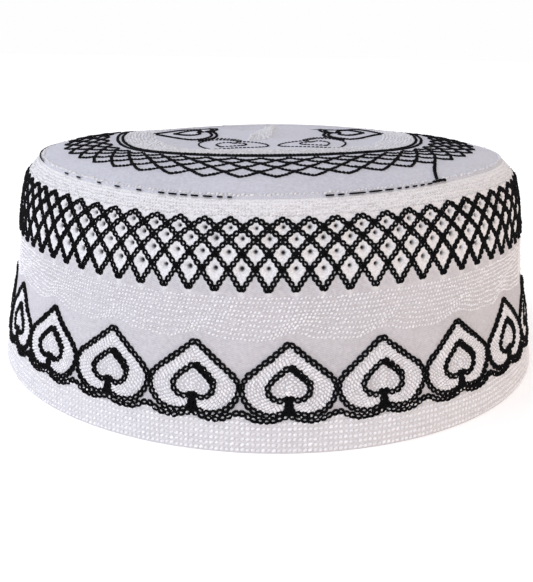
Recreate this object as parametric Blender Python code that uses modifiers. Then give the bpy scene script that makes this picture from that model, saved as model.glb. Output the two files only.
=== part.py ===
"""Embroidered prayer cap: a round, softly domed crown sewn into a stiff, tapered side wall.

Metres, +Z up. The origin is the centre of the hem's underside, in the plane that the cap rests on,
and the front of the cap faces -Y. Angles round the cap start at the front and grow towards +X.
The two pieces are the two pieces of quilted cloth that such a cap is sewn from, each with its real
thickness, and they meet at the seam with a narrow gap.
"""

import math
from collections import namedtuple

import bpy
import numpy as np

MM = 0.001

# Driving sizes
RIM_RADIUS = 92.3 * MM        # outside of the wall at the hem: a cap 58 cm round
SEAM_HEIGHT = 64.5 * MM       # from the hem up to the seam between wall and crown
WALL_CLOTH = 1.9 * MM         # two layers of cotton with their quilting
CROWN_CLOTH = 1.9 * MM
CROWN_RISE = 5.1 * MM         # how far the dome stands above its seam
DOME_POWER = 4.4              # a high power keeps the crown flat until close to its seam
FRONT_PUFF = 1.5 * MM         # the crown swells up by this towards the front and sinks behind
SEAM_GAP = 0.3 * MM           # between the edge of the crown and the lip of the wall
EDGE_ROUNDING = 0.5 * MM      # folded edges of the hem, the lip and the crown

# The gathered spot in the middle of the crown
PINCH_PLACE = (-2.8 * MM, 8.0 * MM)
PINCH_DEPTH = 0.5 * MM
PINCH_RADIUS = 9.0 * MM

# Fineness of the faceted solids
SIDES = 72
WALL_OUTSIDE_ROWS = 13
WALL_INSIDE_ROWS = 9
CROWN_TOP_ROWS = 14
CROWN_UNDER_ROWS = 8
ROUNDING_SEGMENTS = 2
SHARP_ANGLE = math.radians(32)
WELD = 0.01 * MM

# Outside of the wall, from the hem to the seam
OutlineRow = namedtuple("OutlineRow", "height_share radius_share")
WALL_OUTLINE = (
    OutlineRow(0.00, 1.0000),
    OutlineRow(0.12, 0.9841),
    OutlineRow(0.30, 0.9568),
    OutlineRow(0.50, 0.9281),
    OutlineRow(0.70, 0.9097),
    OutlineRow(0.86, 0.8906),
    OutlineRow(0.95, 0.8632),
    OutlineRow(1.00, 0.8291),
)

# How the height of the seam waves round the cap, as soft cloth does
WaveRow = namedtuple("WaveRow", "waves_per_turn cosine_part sine_part")
SEAM_WAVES = (
    WaveRow(1, 0.00 * MM, 0.68 * MM),
    WaveRow(2, -0.19 * MM, 0.17 * MM),
    WaveRow(3, -0.66 * MM, 0.37 * MM),
)

SEAM_RADIUS = RIM_RADIUS * WALL_OUTLINE[-1].radius_share

WHITE_CLOTH = (0.86, 0.86, 0.89, 1.0)
CROWN_TINT = (0.80, 0.80, 0.85, 1.0)


def smooth_curve(x, xs, ys):
    """Curve through a table: a cubic between each two points, with slopes from their neighbours."""
    slopes = np.gradient(ys, xs, edge_order=2)
    i = np.clip(np.searchsorted(xs, x, side="right") - 1, 0, len(xs) - 2)
    step = xs[i + 1] - xs[i]
    t = (x - xs[i]) / step
    from_start = (2 * t**3 - 3 * t**2 + 1) * ys[i] + (t**3 - 2 * t**2 + t) * step * slopes[i]
    to_end = (3 * t**2 - 2 * t**3) * ys[i + 1] + (t**3 - t**2) * step * slopes[i + 1]
    return from_start + to_end


def wall_radius(height):
    """Outer radius of the wall at a height above the hem, before the seam's waves."""
    shares = np.array([row.height_share for row in WALL_OUTLINE])
    radii = np.array([row.radius_share for row in WALL_OUTLINE])
    return RIM_RADIUS * smooth_curve(height / SEAM_HEIGHT, shares, radii)


def seam_wave(angle):
    """Height that the seam gains or loses at an angle round the cap."""
    total = np.zeros_like(angle)
    for row in SEAM_WAVES:
        turn = row.waves_per_turn * angle
        total += row.cosine_part * np.cos(turn) + row.sine_part * np.sin(turn)
    return total


def dome_height(radius):
    """Height of the crown's top before it settles: flat in the middle, falling to the seam."""
    return SEAM_HEIGHT + CROWN_RISE * (1.0 - (radius / SEAM_RADIUS) ** DOME_POWER)


def round_angle(points):
    """Angle of each point round the cap, from the front at -Y towards +X."""
    return np.arctan2(points[:, 0], -points[:, 1])


def settle_wall(points):
    """Lift each point of the wall by the seam's wave, in proportion to its height."""
    points[:, 2] += seam_wave(round_angle(points)) * points[:, 2] / SEAM_HEIGHT
    return points


def settle_crown(points):
    """Give the crown the seam's wave at its edge, its swell to the front and its pinched middle."""
    share = np.hypot(points[:, 0], points[:, 1]) / SEAM_RADIUS
    angle = round_angle(points)
    largest = 0.6**1.5 * 0.4
    swell = FRONT_PUFF * share**3 * (1.0 - share**2) / largest * np.cos(angle)
    from_pinch = np.hypot(points[:, 0] - PINCH_PLACE[0], points[:, 1] - PINCH_PLACE[1])
    pinch = PINCH_DEPTH * np.exp(-((from_pinch / PINCH_RADIUS) ** 2))
    points[:, 2] += seam_wave(angle) * share + swell - pinch
    return points


def wall_profile():
    """Section of the wall: down the outside, across the hem, up the inside and over the lip."""
    climb = 1.0 - (1.0 - np.linspace(0.0, 1.0, WALL_OUTSIDE_ROWS)) ** 1.5
    height = SEAM_HEIGHT * climb
    outside = np.column_stack((wall_radius(height), height))[::-1]

    fine = np.linspace(0.0, SEAM_HEIGHT, 400)
    slope = np.gradient(wall_radius(fine), fine)
    run = np.hypot(1.0, slope)
    inner_radius = wall_radius(fine) - WALL_CLOTH / run
    inner_height = fine + WALL_CLOTH * slope / run
    inside_climb = 1.0 - (1.0 - np.linspace(0.0, 1.0, WALL_INSIDE_ROWS)) ** 1.5
    lip_height = np.interp(-SEAM_RADIUS, -inner_radius, inner_height)
    inside_height = lip_height * inside_climb
    inside_radius = np.interp(inside_height, inner_height, inner_radius)
    return np.vstack((outside, np.column_stack((inside_radius, inside_height))))


def crown_profile():
    """Section of the crown: out over the top to its edge, then back to the middle underneath."""
    edge = SEAM_RADIUS - SEAM_GAP
    top_radius = edge * np.linspace(0.0, 1.0, CROWN_TOP_ROWS) ** 0.8
    under_radius = edge * np.linspace(1.0, 0.0, CROWN_UNDER_ROWS) ** 0.8
    top = np.column_stack((top_radius, dome_height(top_radius)))
    under = np.column_stack((under_radius, dome_height(under_radius) - CROWN_CLOTH))
    return np.vstack((top, under))


def cloth_material(name, colour, roughness):
    """Plain woven cloth in one colour."""
    material = bpy.data.materials.new(name)
    material.use_nodes = True
    shader = material.node_tree.nodes["Principled BSDF"]
    shader.inputs["Base Color"].default_value = colour
    shader.inputs["Roughness"].default_value = roughness
    shader.inputs["Metallic"].default_value = 0.0
    material.diffuse_color = colour
    return material


def turned_mesh(name, section, closed, collection):
    """Turn a section once round the Z axis and return the mesh."""
    points = [(radius, 0.0, height) for radius, height in section]
    edges = [(i, i + 1) for i in range(len(points) - 1)]
    if closed:
        edges.append((len(points) - 1, 0))
    outline = bpy.data.meshes.new(name + "_section")
    outline.from_pydata(points, edges, [])
    blank = bpy.data.objects.new(name + "_section", outline)
    collection.objects.link(blank)
    screw = blank.modifiers.new("Turn", "SCREW")
    screw.axis = "Z"
    screw.angle = math.tau
    screw.steps = SIDES
    screw.render_steps = SIDES
    screw.use_merge_vertices = True
    screw.merge_threshold = WELD
    turned = bpy.data.meshes.new_from_object(blank.evaluated_get(bpy.context.evaluated_depsgraph_get()))
    bpy.data.objects.remove(blank)
    bpy.data.meshes.remove(outline)
    return turned


def cloth_piece(name, section, closed, settle, material, collection):
    """Turn a section, let the cloth settle and round its folded edges."""
    mesh = turned_mesh(name, section, closed, collection)
    mesh.name = name
    points = np.empty(len(mesh.vertices) * 3)
    mesh.vertices.foreach_get("co", points)
    mesh.vertices.foreach_set("co", settle(points.reshape(-1, 3)).ravel())
    mesh.materials.append(material)
    mesh.shade_smooth()
    mesh.set_sharp_from_angle(angle=SHARP_ANGLE)
    piece = bpy.data.objects.new(name, mesh)
    collection.objects.link(piece)
    rounding = piece.modifiers.new("Folded edges", "BEVEL")
    rounding.width = EDGE_ROUNDING
    rounding.segments = ROUNDING_SEGMENTS
    rounding.limit_method = "ANGLE"
    rounding.angle_limit = SHARP_ANGLE
    return piece


def make_side_wall(collection):
    """The band of quilted cloth that stands round the head."""
    cloth = cloth_material("Wall cloth", WHITE_CLOTH, 0.85)
    return cloth_piece("side_wall", wall_profile(), True, settle_wall, cloth, collection)


def make_crown(collection):
    """The round of quilted cloth that closes the top."""
    cloth = cloth_material("Crown cloth", CROWN_TINT, 0.85)
    return cloth_piece("crown", crown_profile(), False, settle_crown, cloth, collection)


def main():
    for existing in list(bpy.data.objects):
        bpy.data.objects.remove(existing)
    collection = bpy.data.collections.new("Prayer cap")
    bpy.context.scene.collection.children.link(collection)
    make_side_wall(collection)
    make_crown(collection)


main()
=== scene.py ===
"""Embroidered prayer cap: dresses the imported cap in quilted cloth, eyelets and chain stitch.

Metres, +Z up, the front of the cap faces -Y. Angles round the cap start at the front and grow
towards +X. Every piece is a surface worked out with numpy from a place on the cap's wall or crown.
"""

import math
from collections import namedtuple

import bpy
import numpy as np
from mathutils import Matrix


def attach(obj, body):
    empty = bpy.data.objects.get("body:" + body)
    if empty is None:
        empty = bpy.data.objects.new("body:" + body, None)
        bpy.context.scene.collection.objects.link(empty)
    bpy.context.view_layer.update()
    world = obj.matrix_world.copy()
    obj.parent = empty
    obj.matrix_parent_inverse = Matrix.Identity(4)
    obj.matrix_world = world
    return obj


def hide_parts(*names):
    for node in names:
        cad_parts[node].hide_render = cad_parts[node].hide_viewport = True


bl_info = {
    "name": "Embroidered prayer cap",
    "version": (1, 0, 0),
    "blender": (4, 5, 0),
    "location": "3D View > Sidebar > Prayer cap",
    "description": "Dresses the packed cap in quilted cloth, eyelets and chain stitch",
    "category": "Object",
}

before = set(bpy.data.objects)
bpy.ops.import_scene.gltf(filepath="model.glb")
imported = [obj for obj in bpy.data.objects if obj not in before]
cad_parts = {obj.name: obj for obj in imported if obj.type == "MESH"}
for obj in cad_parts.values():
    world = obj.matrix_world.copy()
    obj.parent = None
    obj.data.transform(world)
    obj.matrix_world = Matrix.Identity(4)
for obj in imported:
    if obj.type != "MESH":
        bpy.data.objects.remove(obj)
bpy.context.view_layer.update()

MM = 0.001
TURN = math.tau

# Shape of the wall: shares of the seam's height, and of the rim's radius there
WALL_HEIGHTS = np.array([0.0, 0.12, 0.30, 0.50, 0.70, 0.86, 0.95, 1.0])
WALL_RADII = np.array([1.0, 0.9841, 0.9568, 0.9281, 0.9097, 0.8906, 0.8632, 0.8291])
# Waves of the seam: how many round the cap, and their cosine and sine parts in mm
SEAM_WAVES = ((1, 0.0, 0.68), (2, -0.19, 0.17), (3, -0.66, 0.37))
# Puckers of the wall: waves round the cap, waves up it, where they start and their share
WALL_PUCKERS = ((17, 260.0, 0.0, 1.0), (29, -410.0, 1.3, 1.0), (47, 700.0, 4.0, 0.7))
# The dent in the middle of the crown
Dent = namedtuple("Dent", "x y depth reach")
PINCH = Dent(-2.8 * MM, 8.0 * MM, 0.5 * MM, 9.0 * MM)
# Relief of the crown: dimples of its lattice's cells, the crease behind its middle, soft puckers
DIMPLE, CREASE, SOFT_PUCKER = 0.16 * MM, 0.8 * MM, 0.12 * MM

# Heights of the lattice's crossings on the wall, from its rounded peaks down to its points
WALL_LEVELS = np.array([60.0, 57.8, 55.1, 51.6, 47.3, 42.0]) * MM
# Cosine and sine part, in degrees, of the first two waves by which the embroidery drifts
LATTICE_DRIFT = ((-0.23, 1.11), (-0.74, -0.82))
# Where each pattern starts round the cap, in degrees
WALL_LATTICE_START, WALL_HEART_START = -1.66, -11.95
CROWN_LATTICE_START, CROWN_HEART_START = 1.8, 3.0
# Radius that turns an angle into metres of cloth on the wall's map
MAP_RADIUS = 0.085
# Radii of the lattice's crossings on the crown, from its outer points inwards
CROWN_LEVELS = np.array([68.2, 65.4, 62.3, 59.2, 56.5, 53.9]) * MM
CROWN_CENTRE = (-0.7 * MM, 0.4 * MM)
RING_CENTRE = (-0.7 * MM, 0.3 * MM)
RING_RADII = (51.1 * MM, 49.4 * MM)
# Billows of the soft crown, in mm: where each is centred and how far it rises or sinks
BILLOW_REACH = 16.0 * MM
BILLOWS = np.array([
    (-44, -22, -1.4), (-44, 0, 0.7), (-44, 22, 0.2), (-22, -44, 0.3), (-22, -22, -0.8), (-22, 0, 0.2),
    (-22, 22, 0.3), (-22, 44, -0.1), (0, -44, 0.6), (0, -22, -0.1), (0, 0, 1.1), (0, 22, 0.4),
    (22, -22, -0.5), (22, 0, -0.3), (22, 22, 1.2), (22, 44, -0.7), (44, -22, -1.0), (44, 0, 0.6),
    (44, 22, 0.7)]) * MM
# The crown sinks behind its middle: how steeply, from which y on, over which bend, and how far
# back and sideways the sinking reaches
SINK_SLOPE = 0.215
SINK_START, SINK_BEND, SINK_BACK, SINK_SIDE = 9.2 * MM, 3.0 * MM, 51.0 * MM, 50.0 * MM

# Half outlines of the motifs: sideways and up for the wall, in degrees and mm
WALL_HEART = np.array([(0.0, 28.7), (1.1, 27.3), (3.4, 24.4), (5.7, 21.6), (7.2, 19.6), (7.85, 17.8),
                       (7.85, 15.8), (7.2, 13.4), (6.0, 11.5), (4.6, 10.4), (3.2, 10.1),
                       (1.6, 10.5), (0.0, 11.6)])
WALL_INNER_HEART = np.array([(0.0, 22.6), (0.8, 21.6), (2.2, 19.9), (3.2, 18.3), (3.6, 16.8),
                             (3.2, 15.2), (2.4, 14.3), (1.5, 14.0), (0.7, 14.3), (0.0, 14.9)])
SCALLOP = np.array([(0.0, 10.2), (1.4, 9.4), (3.2, 8.8), (4.9, 8.9), (6.3, 9.6), (7.3, 10.4),
                    (8.18, 10.7)])
HEART_MIDDLE = np.array([(0.0, 17.2)])
HEART_STEM = (15.0, 10.2)
STEM_POINTS = 12
# The same for the crown: sideways and inwards from the tip, in mm
CROWN_HEART = np.array([(0.0, 0.0), (1.8, 1.8), (4.2, 4.2), (7.4, 7.2), (10.2, 10.2), (11.8, 13.2),
                        (11.4, 16.2), (9.4, 18.6), (6.4, 19.6), (3.4, 19.3), (1.2, 18.6), (0.0, 17.6)])
CROWN_INNER_HEART = np.array([(0.0, 6.6), (1.2, 7.8), (3.0, 9.6), (4.6, 11.6), (4.9, 13.4), (4.0, 15.2),
                              (2.6, 15.7), (1.2, 15.3), (0.0, 14.6)])
CROWN_SCALLOP = np.array([(0.0, 19.6), (3.0, 20.8), (6.4, 21.3), (9.8, 20.6), (12.6, 18.4),
                          (14.0, 15.4)])
CROWN_STEM = (14.6, 19.4)
# How far the tips of the crown's hearts stand from its centre, and those at the back beyond that
CROWN_HEART_TIP, BACK_HEARTS_FURTHER = 39.2, 6.0
# The two sides of an outline
SIDES = (-1, 1)

# Thread: the share of its thickness that its radius has, and the thickness of the seam's
STRAND_SHARE, SEAM_THREAD_SHARE = 0.6, 0.7
STRAND_SIDES = 6
EYELET_SEED = 7
# Near-black painted into each eyelet's blind hole, as the shade inside it
EYELET_PAINTED_SHADE = (0.012, 0.012, 0.014, 1.0)
# Black thread's ridges: a painted sheen
BLACK_PAINTED_SHEEN = (0.007, 0.007, 0.008, 1.0)

# The stage: half the floor's side, and the camera's place, lens, downward tilt and roll
FLOOR_HALF = 3.0
CAMERA_PLACE = (-0.895 * MM, -266.0 * MM, 103.08 * MM)
CAMERA_LENS, CAMERA_DOWN, CAMERA_ROLL = 47.54, 0.3256, 0.0153
SKY_LEFT, SKY_RIGHT, SKY_SEEN = (1.38, 1.46, 1.60, 1.0), (0.76, 0.68, 0.60, 1.0), (0.99, 0.99, 0.99, 1.0)
Light = namedtuple("Light", "name place aim size power colour")
LIGHTS = (
    Light("Window", (-0.90, -0.50, 0.24), (0, 0, 0.04), 0.6, 2.7, (0.97, 0.98, 1.0)),
    Light("Front", (-0.20, -0.80, 0.60), (0, 0, 0.04), 0.6, 1.0, (1.0, 0.98, 1.0)),
    Light("Fill", (0.85, -0.45, 0.04), (0, 0, 0.03), 0.3, 3.3, (1.0, 0.68, 0.40)),
)


def length_property(name, description, default):
    """A length in metres that a user can change."""
    return bpy.props.FloatProperty(name=name, description=description, default=default,
                                   subtype="DISTANCE", unit="LENGTH")


def count_property(name, description, default, low, high):
    """A whole number between two limits that a user can change."""
    return bpy.props.IntProperty(name=name, description=description, default=default, min=low, max=high)


def colour_property(name, description, red, green, blue):
    """An opaque colour that a user can change."""
    return bpy.props.FloatVectorProperty(name=name, description=description, subtype="COLOR", size=4,
                                         min=0.0, max=1.0, default=(red, green, blue, 1.0))


class CapShape(bpy.types.PropertyGroup):
    """Sizes of the cloth, the same as the solids have."""

    rim_radius: length_property("Rim radius", "Outside of the wall at the hem", 0.0923)
    seam_height: length_property("Seam height", "From the hem up to the seam of wall and crown", 0.0645)
    cloth: length_property("Cloth thickness", "Two layers of cotton with their quilting", 0.0019)
    crown_rise: length_property("Crown rise", "How far the dome stands above its seam", 0.0051)
    dome_power: bpy.props.FloatProperty(
        name="Dome power", description="A high power keeps the crown flat until close to its seam",
        default=4.4, min=2.0, max=8.0)
    front_puff: length_property("Front puff", "How far the crown swells up towards the front", 0.0015)
    seam_gap: length_property("Seam gap", "Between the crown's edge and the wall's lip", 0.0003)
    bed: length_property("Stitch bed", "How deep the thread presses into the quilted cloth", 0.0004)
    pucker: length_property("Pucker", "How far the cloth lifts between its rows of stitches", 0.00022)


class CapStitches(bpy.types.PropertyGroup):
    """Counts and sizes of the embroidery."""

    wall_columns: count_property("Wall lattice columns", "Peaks of the lattice round the wall", 76, 8, 200)
    crown_columns: count_property("Crown lattice columns", "Points of the lattice round the crown",
                                  44, 8, 200)
    hearts: count_property("Wall hearts", "Hearts round the wall", 22, 4, 60)
    crown_hearts: count_property("Crown hearts", "Hearts round the middle of the crown", 6, 2, 12)
    pitch: length_property("Stitch pitch", "From one black chain stitch to the next", 0.0015)
    width: length_property("Stitch width", "Across one black chain stitch", 0.0018)
    thread: length_property("Thread thickness", "Across the black thread", 0.0007)
    row_pitch: length_property("White row pitch", "From one row of white stitches to the next", 0.00143)
    eyelet: length_property("Eyelet", "Across the hole of one eyelet", 0.0009)


class CapColours(bpy.types.PropertyGroup):
    """Colours of the cloth, the threads and the floor."""

    cloth: colour_property("Cloth", "White cotton", 0.565, 0.545, 0.58)
    # The duller cotton: painted shade in the weave's valleys, and random duller patches
    shade: colour_property("Cloth shade", "Cotton where it is a little duller", 0.40, 0.385, 0.415)
    # The crown's cotton is the wall's white painted darker and cooler, as shade on the crown's top; its
    # duller colour likewise
    crown: colour_property("Crown", "Cotton of the crown", 0.535, 0.535, 0.60)
    crown_shade: colour_property("Crown shade", "Cotton of the crown where it is a little duller",
                                 0.38, 0.38, 0.435)
    white_thread: colour_property("White thread", "Mercerised cotton", 0.77, 0.76, 0.79)
    black_thread: colour_property("Black thread", "Soft black cotton", 0.003, 0.003, 0.004)
    floor: colour_property("Floor", "Plain pale paper", 0.985, 0.98, 0.98)


def smooth_curve(x, xs, ys):
    """Cubic Hermite curve through a table, its slopes the central differences of the table."""
    slopes = np.gradient(ys, xs, edge_order=2)
    i = np.clip(np.searchsorted(xs, x, side="right") - 1, 0, len(xs) - 2)
    step = xs[i + 1] - xs[i]
    t = (x - xs[i]) / step
    start = (2 * t**3 - 3 * t**2 + 1) * ys[i] + (t**3 - 2 * t**2 + t) * step * slopes[i]
    return start + (3 * t**2 - 2 * t**3) * ys[i + 1] + (t**3 - t**2) * step * slopes[i + 1]


def fade(depth, width):
    """From 0 to 1 while a depth grows from nothing to a width, and 1 beyond."""
    return np.clip(depth / width, 0.0, 1.0)


def seam_radius():
    """Radius of the seam: the last share of the wall's table times the rim's radius."""
    return bpy.context.scene.cap_shape.rim_radius * WALL_RADII[-1]


def seam_wave(angle):
    """Sum of three cosine and sine waves round the cap, in metres."""
    return sum(c * np.cos(n * angle) + s * np.sin(n * angle) for n, c, s in SEAM_WAVES) * MM


def wall_radius(height):
    """Radius of the wall's outside at a height: the table's smooth curve times the rim's radius."""
    shape = bpy.context.scene.cap_shape
    return shape.rim_radius * smooth_curve(height / shape.seam_height, WALL_HEIGHTS, WALL_RADII)


def wall_ripple(angle, height):
    """Low puckers of the wall: three crossing sine waves that fade out at the hem and the seam."""
    shape = bpy.context.scene.cap_shape
    wave = sum(share * np.sin(round_cap * angle + up * height + start)
               for round_cap, up, start, share in WALL_PUCKERS)
    return shape.pucker * 0.45 * wave * fade(np.minimum(height, shape.seam_height - height), 5.0 * MM)


def wall_surface(angle, height, lift=0.0):
    """Points and outward normals of the wall: the profile turned by the angle, then lifted along
    the profile's normal from the depth that the thread presses the cloth to, with the puckers and,
    in proportion to the height, the seam's wave added."""
    shape = bpy.context.scene.cap_shape
    lift = lift - shape.bed + wall_ripple(angle, height)
    slope = (wall_radius(height + 0.1 * MM) - wall_radius(height - 0.1 * MM)) / (0.2 * MM)
    run = np.hypot(1.0, slope)
    out = wall_radius(height) + lift / run
    rise = height - lift * slope / run + seam_wave(angle) * height / shape.seam_height
    points = np.stack((out * np.sin(angle), -out * np.cos(angle), rise), -1)
    normals = np.stack((np.sin(angle) / run, -np.cos(angle) / run, -slope / run), -1)
    return points, normals


def crown_height(x, y):
    """Height of the crown's top: a flat dome, the seam's wave, a swell to the front that goes as
    the cube of the radius and ends at the edge, a shallow dent in the middle, soft billows, each a
    bell curve, and a sinking behind the middle, a rounded ramp times a bell curve. The last two
    fade out at the edge."""
    shape = bpy.context.scene.cap_shape
    share = np.hypot(x, y) / seam_radius()
    angle = np.arctan2(x, -y)
    largest = 0.6**1.5 * 0.4
    swell = shape.front_puff * share**3 * (1.0 - share**2) / largest * np.cos(angle)
    dent = PINCH.depth * np.exp(-((x - PINCH.x) ** 2 + (y - PINCH.y) ** 2) / PINCH.reach**2)
    dome = shape.seam_height + shape.crown_rise * (1.0 - share**shape.dome_power)
    away = (x[..., None] - BILLOWS[:, 0]) ** 2 + (y[..., None] - BILLOWS[:, 1]) ** 2
    billow = np.exp(-away / (2 * BILLOW_REACH**2)) @ BILLOWS[:, 2]
    behind = y - SINK_START
    ramp = (np.hypot(behind, SINK_BEND) + behind) / 2
    sink = SINK_SLOPE * ramp * np.exp(-((ramp / SINK_BACK) ** 2) - (x / SINK_SIDE) ** 4)
    fades = billow * (1.0 - share**6) - sink * (1.0 - np.minimum(share, 1.0) ** 18)
    return dome + seam_wave(angle) * share + swell - dent + fades


def crown_relief(x, y):
    """Low relief of the crown: dimples in the lattice's cells, soft puckers and one crease from
    the middle back."""
    columns = bpy.context.scene.cap_stitches.crown_columns
    dx, dy = x - CROWN_CENTRE[0], y - CROWN_CENTRE[1]
    radius, angle = np.hypot(dx, dy), np.arctan2(dx, -dy)
    step = np.interp(-radius, -CROWN_LEVELS, np.arange(6.0))
    turn = (angle - math.radians(CROWN_LATTICE_START)) * columns / TURN
    across = np.cos(TURN * turn) * np.cos(math.pi * step)
    inside = fade(radius - 53 * MM, 2 * MM) * fade(69 * MM - radius, 2 * MM)
    dimple = DIMPLE * across * inside
    ridge = CREASE * np.exp(-((dx - 0.6 * MM) / (2.6 * MM)) ** 2)
    ridge *= fade(dy + 22 * MM, 14 * MM) * fade(62 * MM - dy, 20 * MM)
    wave = np.sin(230.0 * x + 90.0 * y) + np.sin(150.0 * y - 260.0 * x + 2.0)
    soft = SOFT_PUCKER * wave * fade(48 * MM - radius, 10 * MM)
    return (dimple + ridge + soft) * fade(seam_radius() - np.hypot(x, y), 4 * MM)


def crown_surface(x, y, lift=0.0):
    """Points and upward normals of the crown, the normals from the slopes of its height."""
    step = 0.2 * MM
    along_x = (crown_height(x + step, y) - crown_height(x - step, y)) / (2 * step)
    along_y = (crown_height(x, y + step) - crown_height(x, y - step)) / (2 * step)
    normals = np.stack((-along_x, -along_y, np.ones_like(x)), -1)
    normals /= np.linalg.norm(normals, axis=-1, keepdims=True)
    points = np.stack((x, y, crown_height(x, y) + crown_relief(x, y)), -1)
    return points + normals * np.expand_dims(lift, -1), normals


def places_round(angle, radius, centre=(0.0, 0.0)):
    """Places at an angle and a radius about a centre, as x and y."""
    return centre[0] + radius * np.sin(angle), centre[1] - radius * np.cos(angle)


def crown_circle(radius, centre, points):
    """Closed circle on the crown about a centre."""
    around = np.linspace(0.0, TURN, points)
    return crown_surface(*places_round(around, np.full(points, radius), centre))


def lattice_angle(column):
    """Angle of a column of the wall's lattice, with the slow drift of hand-set work."""
    columns = bpy.context.scene.cap_stitches.wall_columns
    return drifted(TURN * column / columns + math.radians(WALL_LATTICE_START))


def drifted(base):
    """An even angle plus the drift of the embroidery: two waves, given in degrees."""
    drift = sum(c * np.cos(n * base) + s * np.sin(n * base)
                for n, (c, s) in enumerate(LATTICE_DRIFT, 1))
    return base + np.radians(drift)


def level_height(step, levels):
    """Height or radius of a lattice step, a smooth curve through the levels."""
    return smooth_curve(step, np.arange(len(levels), dtype=float), levels)


def line_through(corners, points=160):
    """Smooth line through corners, a cubic curve over the length along them."""
    run = np.concatenate(([0.0], np.cumsum(np.hypot(*np.diff(corners, axis=0).T))))
    t = np.linspace(0.0, run[-1], points)
    return np.column_stack([smooth_curve(t, run, corners[:, i]) for i in (0, 1)])


def even_steps(points, normals, pitch, start=0.5):
    """Middles of even steps along a line: their places, directions and normals. The step is the
    line's length over the whole number of pitches nearest to it, the first after a part of one."""
    run = np.concatenate(([0.0], np.cumsum(np.linalg.norm(np.diff(points, axis=0), axis=1))))
    count = max(1, round(run[-1] / pitch))
    middle = (np.arange(count) + start) * run[-1] / count

    def at(values, where):
        return np.column_stack([np.interp(where, run, values[:, i]) for i in range(3)])

    ahead = at(points, middle + 0.35 * pitch) - at(points, middle - 0.35 * pitch)
    return at(points, middle), ahead, at(normals, middle)


def stitch_frames(lines, pitch, stagger):
    """Frames of every stitch on many lines: place, ahead, across and up, all of unit length. The
    stagger is the part of a step by which one line starts later than the line before, in turns of
    three lines."""
    parts = [even_steps(points, normals, pitch, 0.5 + stagger * (i % 3 - 1))
             for i, (points, normals) in enumerate(lines)]
    place, ahead, up = (np.concatenate(part) for part in zip(*parts))
    up /= np.linalg.norm(up, axis=1, keepdims=True)
    ahead -= up * np.sum(ahead * up, axis=1, keepdims=True)
    ahead /= np.linalg.norm(ahead, axis=1, keepdims=True)
    return place, ahead, np.cross(up, ahead), up


def uneven(place, ahead, across, up, amount, seed):
    """Frames with the small unevenness of sewing: a turn, a shift and a change of size each."""
    chance = np.random.default_rng(seed)
    turn, shift, size = chance.normal(0.0, 1.0, (3, len(place), 1)) * amount
    turn, size = 0.16 * turn, 1.0 + 0.09 * size
    return (place + across * shift * 0.07 * MM, (ahead * np.cos(turn) + across * np.sin(turn)) * size,
            (across * np.cos(turn) - ahead * np.sin(turn)) * size, up * size)


def chain_link(length, width, thread, points, sides=3):
    """One chain stitch, a loop of thread: an oval, wider at its head, whose section is a small
    polygon. Its tail dips inside the loop before it and its legs ride up over that loop's head."""
    turn = TURN * np.arange(points)[:, None] / points
    section = TURN * np.arange(sides)[None, :] / sides + math.pi / 2
    a, b = (length - thread) / 2, (width - thread) / 2
    x = a * np.cos(turn)
    y = b * np.sin(turn) * (1.0 + 0.22 * np.cos(turn))
    tail = np.exp(-((turn - math.pi) / 0.45) ** 2)
    z = thread * (0.2 + 0.36 * (1.0 - np.cos(turn)) / 2 - 0.5 * tail)
    out_x, out_y = b * np.cos(turn), a * np.sin(turn)
    size = np.hypot(out_x, out_y)
    strand = STRAND_SHARE * thread
    out = strand * np.cos(section)
    return np.stack((x + out * out_x / size, y + out * out_y / size,
                     z + strand * np.sin(section)), -1)


# Rings of a white stitch from below to its top: share of its size, and height. Fine work has fewer
FULL_RINGS = ((0.0, -1.2), (1.0, -0.5), (0.72, 0.6), (0.0, 1.0))
FINE_RINGS = ((0.0, -1.0), (1.0, -0.3), (0.0, 1.0))


def raised_stitch(length, width, height, rings, points=5):
    """One white stitch seen from outside, a low oval hump: an ellipse in plan whose rings narrow
    to a point above and to another just under the cloth."""
    turn = TURN * np.arange(points)[:, None] / points
    share, rise = np.array(rings).T
    return np.stack(np.broadcast_arrays(length / 2 * np.cos(turn) * share,
                                        width / 2 * np.sin(turn) * share, height * rise), -1)


def slanted(stitch, slant):
    """The stitch turned on the cloth by an angle."""
    x, y, z = np.moveaxis(stitch, -1, 0)
    along = x * math.cos(slant) - y * math.sin(slant)
    across = x * math.sin(slant) + y * math.cos(slant)
    return np.stack((along, across, z), -1)


def stitches(lines, pitch, stitch, looped, thread, unevenness=0.55, stagger=0.0):
    """Mesh of one stitch repeated along many lines: its three coordinates along each step's ahead,
    across and up. Returns vertices, faces and each corner's place along and round the thread."""
    place, ahead, across, up = uneven(*stitch_frames(lines, pitch, stagger), unevenness, len(lines))
    vertices = (place[:, None, None, :] + stitch[None, ..., :1] * ahead[:, None, None, :]
                + stitch[None, ..., 1:2] * across[:, None, None, :]
                + stitch[None, ..., 2:] * up[:, None, None, :])
    points, sides = stitch.shape[:2]
    i, j = np.meshgrid(np.arange(points), np.arange(sides if looped else sides - 1), indexing="ij")
    quad = [(i, j), (i + 1, j), (i + 1, j + 1), (i, j + 1)]
    faces = np.stack([(a % points) * sides + b % sides for a, b in quad], -1).reshape(-1, 4)
    corner = np.stack([np.stack((a * 1.0, b * 1.0), -1) for a, b in quad], -2).reshape(-1, 4, 2)
    corner *= (thread * 2.2, thread * math.pi / sides)
    count = len(place)
    faces = (faces[None] + (np.arange(count) * points * sides)[:, None, None]).reshape(-1, 4)
    return vertices.reshape(-1, 3), faces, np.tile(corner, (count, 1, 1))


# What the two masks of a cloth say: how much painted shade a point takes in and round an eyelet's hole, and
# how much it lies in stitched cloth
MASKS = ("eyelet", "worked")


def quads(index):
    """Quads of a grid of point numbers."""
    return np.stack((index[:-1, :-1], index[1:, :-1], index[1:, 1:], index[:-1, 1:]),
                    -1).reshape(-1, 4)


def grid_faces(shape):
    """Quads of a grid of points, by their place in the flattened grid."""
    return quads(np.arange(math.prod(shape)).reshape(shape))


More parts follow.
